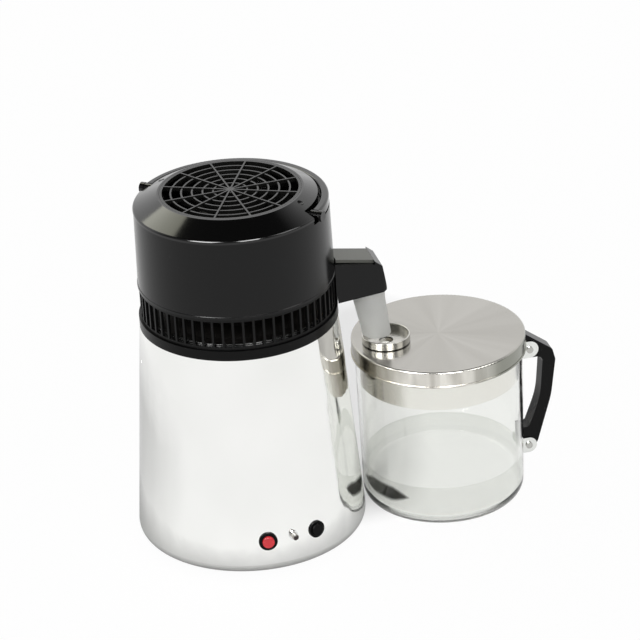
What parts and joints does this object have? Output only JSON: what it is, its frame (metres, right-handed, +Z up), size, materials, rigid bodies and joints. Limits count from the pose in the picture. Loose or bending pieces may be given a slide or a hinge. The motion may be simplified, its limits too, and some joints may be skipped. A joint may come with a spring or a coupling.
{
  "type": "glass water distiller",
  "caption": "Counter-top water distiller: steel boiler with a lift-off fan-cooled condenser head and spout, dripping into a lidded glass jug with a side handle.",
  "frame": {"origin": "on the bench, at the middle of the whole object's length and width", "axes": "+X from the boiler to the jug, +Z up, so the control panel looks along -Y"},
  "size_m": [0.4268, 0.2317, 0.36],
  "materials": {
    "casing_steel": "mirror-polished stainless steel",
    "pot_steel": "bright stainless steel",
    "lid_steel": "stainless steel, turned grain",
    "nozzle_steel": "satin stainless steel",
    "bracket_steel": "bright stainless steel",
    "black_gloss": "glossy black moulding",
    "black_satin": "satin black moulding",
    "base_black": "textured black moulding",
    "rubber": "black rubber",
    "seal_silicone": "milky silicone rubber",
    "red_button": "glossy red",
    "lamp_lens": "dark tinted lens",
    "bezel_chrome": "plated",
    "plain_steel": "zinc-plated steel",
    "heater_aluminium": "cast aluminium",
    "brass": "turned brass",
    "sensor_plastic": "phenolic moulding",
    "cap_grey": "satin dark grey moulding",
    "carbon": "pressed activated carbon",
    "jug_glass": "clear borosilicate glass"
  },
  "bodies": {
    "base": {"outer_casing": "casing_steel", "boiling_pot": "pot_steel", "casing_collar": "black_satin", "base_plate": "base_black", "rubber_feet": "rubber", "foot_screws": "plain_steel", "heater_plate": "heater_aluminium", "heating_element": "plain_steel", "heater_clamp": "plain_steel", "thermostat": "sensor_plastic", "thermal_cutout": "sensor_plastic", "terminal_block": "sensor_plastic", "start_bezel": "black_gloss", "pilot_bezel": "bezel_chrome", "pilot_lens": "lamp_lens", "reset_bezel": "black_gloss", "panel_nuts": "base_black", "power_inlet": "base_black", "inlet_pins": "brass", "fan_supply_jack": "base_black"},
    "start_button": {"start_button": "red_button"},
    "reset_button": {"reset_button": "black_gloss"},
    "head": {"vent_ring": "black_satin", "head_shell": "black_satin", "top_cover": "black_gloss", "cover_screws": "plain_steel", "fan_guard": "black_gloss", "condenser_plate": "pot_steel", "plate_gasket": "seal_silicone", "plate_posts": "plain_steel", "motor_bracket": "plain_steel", "fan_motor": "plain_steel", "condenser_coil": "pot_steel", "coil_unions": "brass", "steam_pipe": "pot_steel", "outlet_pipe": "pot_steel", "spout_housing": "black_satin", "spout_cap": "cap_grey", "drip_nozzle": "nozzle_steel", "charcoal_filter": "carbon", "handle_pivots": "black_gloss", "fan_jack": "base_black"},
    "carry_handle": {"carry_handle": "black_gloss"},
    "fan": {"fan_blades": "base_black", "fan_shaft": "plain_steel"},
    "jug": {"glass_jug": "jug_glass", "jug_handle": "black_satin", "upper_bracket": "bracket_steel", "lower_bracket": "bracket_steel", "handle_screws": "plain_steel"},
    "lid": {"jug_lid": "lid_steel", "lid_sleeve": "lid_steel", "lid_seal": "seal_silicone", "inlet_cup": "lid_steel"}
  },
  "joints": [
    {"name": "head_lift", "type": "slide", "parent": "base", "child": "head", "axis": [0, 0, 1], "range_m": [0, 0.12]},
    {"name": "carry_handle_swing", "type": "hinge", "parent": "head", "child": "carry_handle", "pos_m": [-0.1008, 0, 0.347], "axis": [0.7593, -0.6508, 0], "range_deg": [0, 100]},
    {"name": "fan_spin", "type": "hinge", "parent": "head", "child": "fan", "pos_m": [-0.1008, 0, 0.32], "axis": [0, 0, 1], "continuous": true},
    {"name": "jug_slide", "type": "slide", "parent": "base", "child": "jug", "axis": [1, 0, 0], "range_m": [0, 0.2]},
    {"name": "lid_turn", "type": "hinge", "parent": "jug", "child": "lid", "pos_m": [0.0962, 0, 0.17], "axis": [0, 0, 1], "continuous": true},
    {"name": "start_press", "type": "slide", "parent": "base", "child": "start_button", "axis": [0.0748, 0.9942, -0.0769], "range_m": [0, 0.003], "stiffness_N_per_m": 500, "springref_m": -0.002},
    {"name": "reset_press", "type": "slide", "parent": "base", "child": "reset_button", "axis": [-0.3719, 0.9251, -0.0769], "range_m": [0, 0.0025], "stiffness_N_per_m": 600, "springref_m": -0.002}
  ]
}
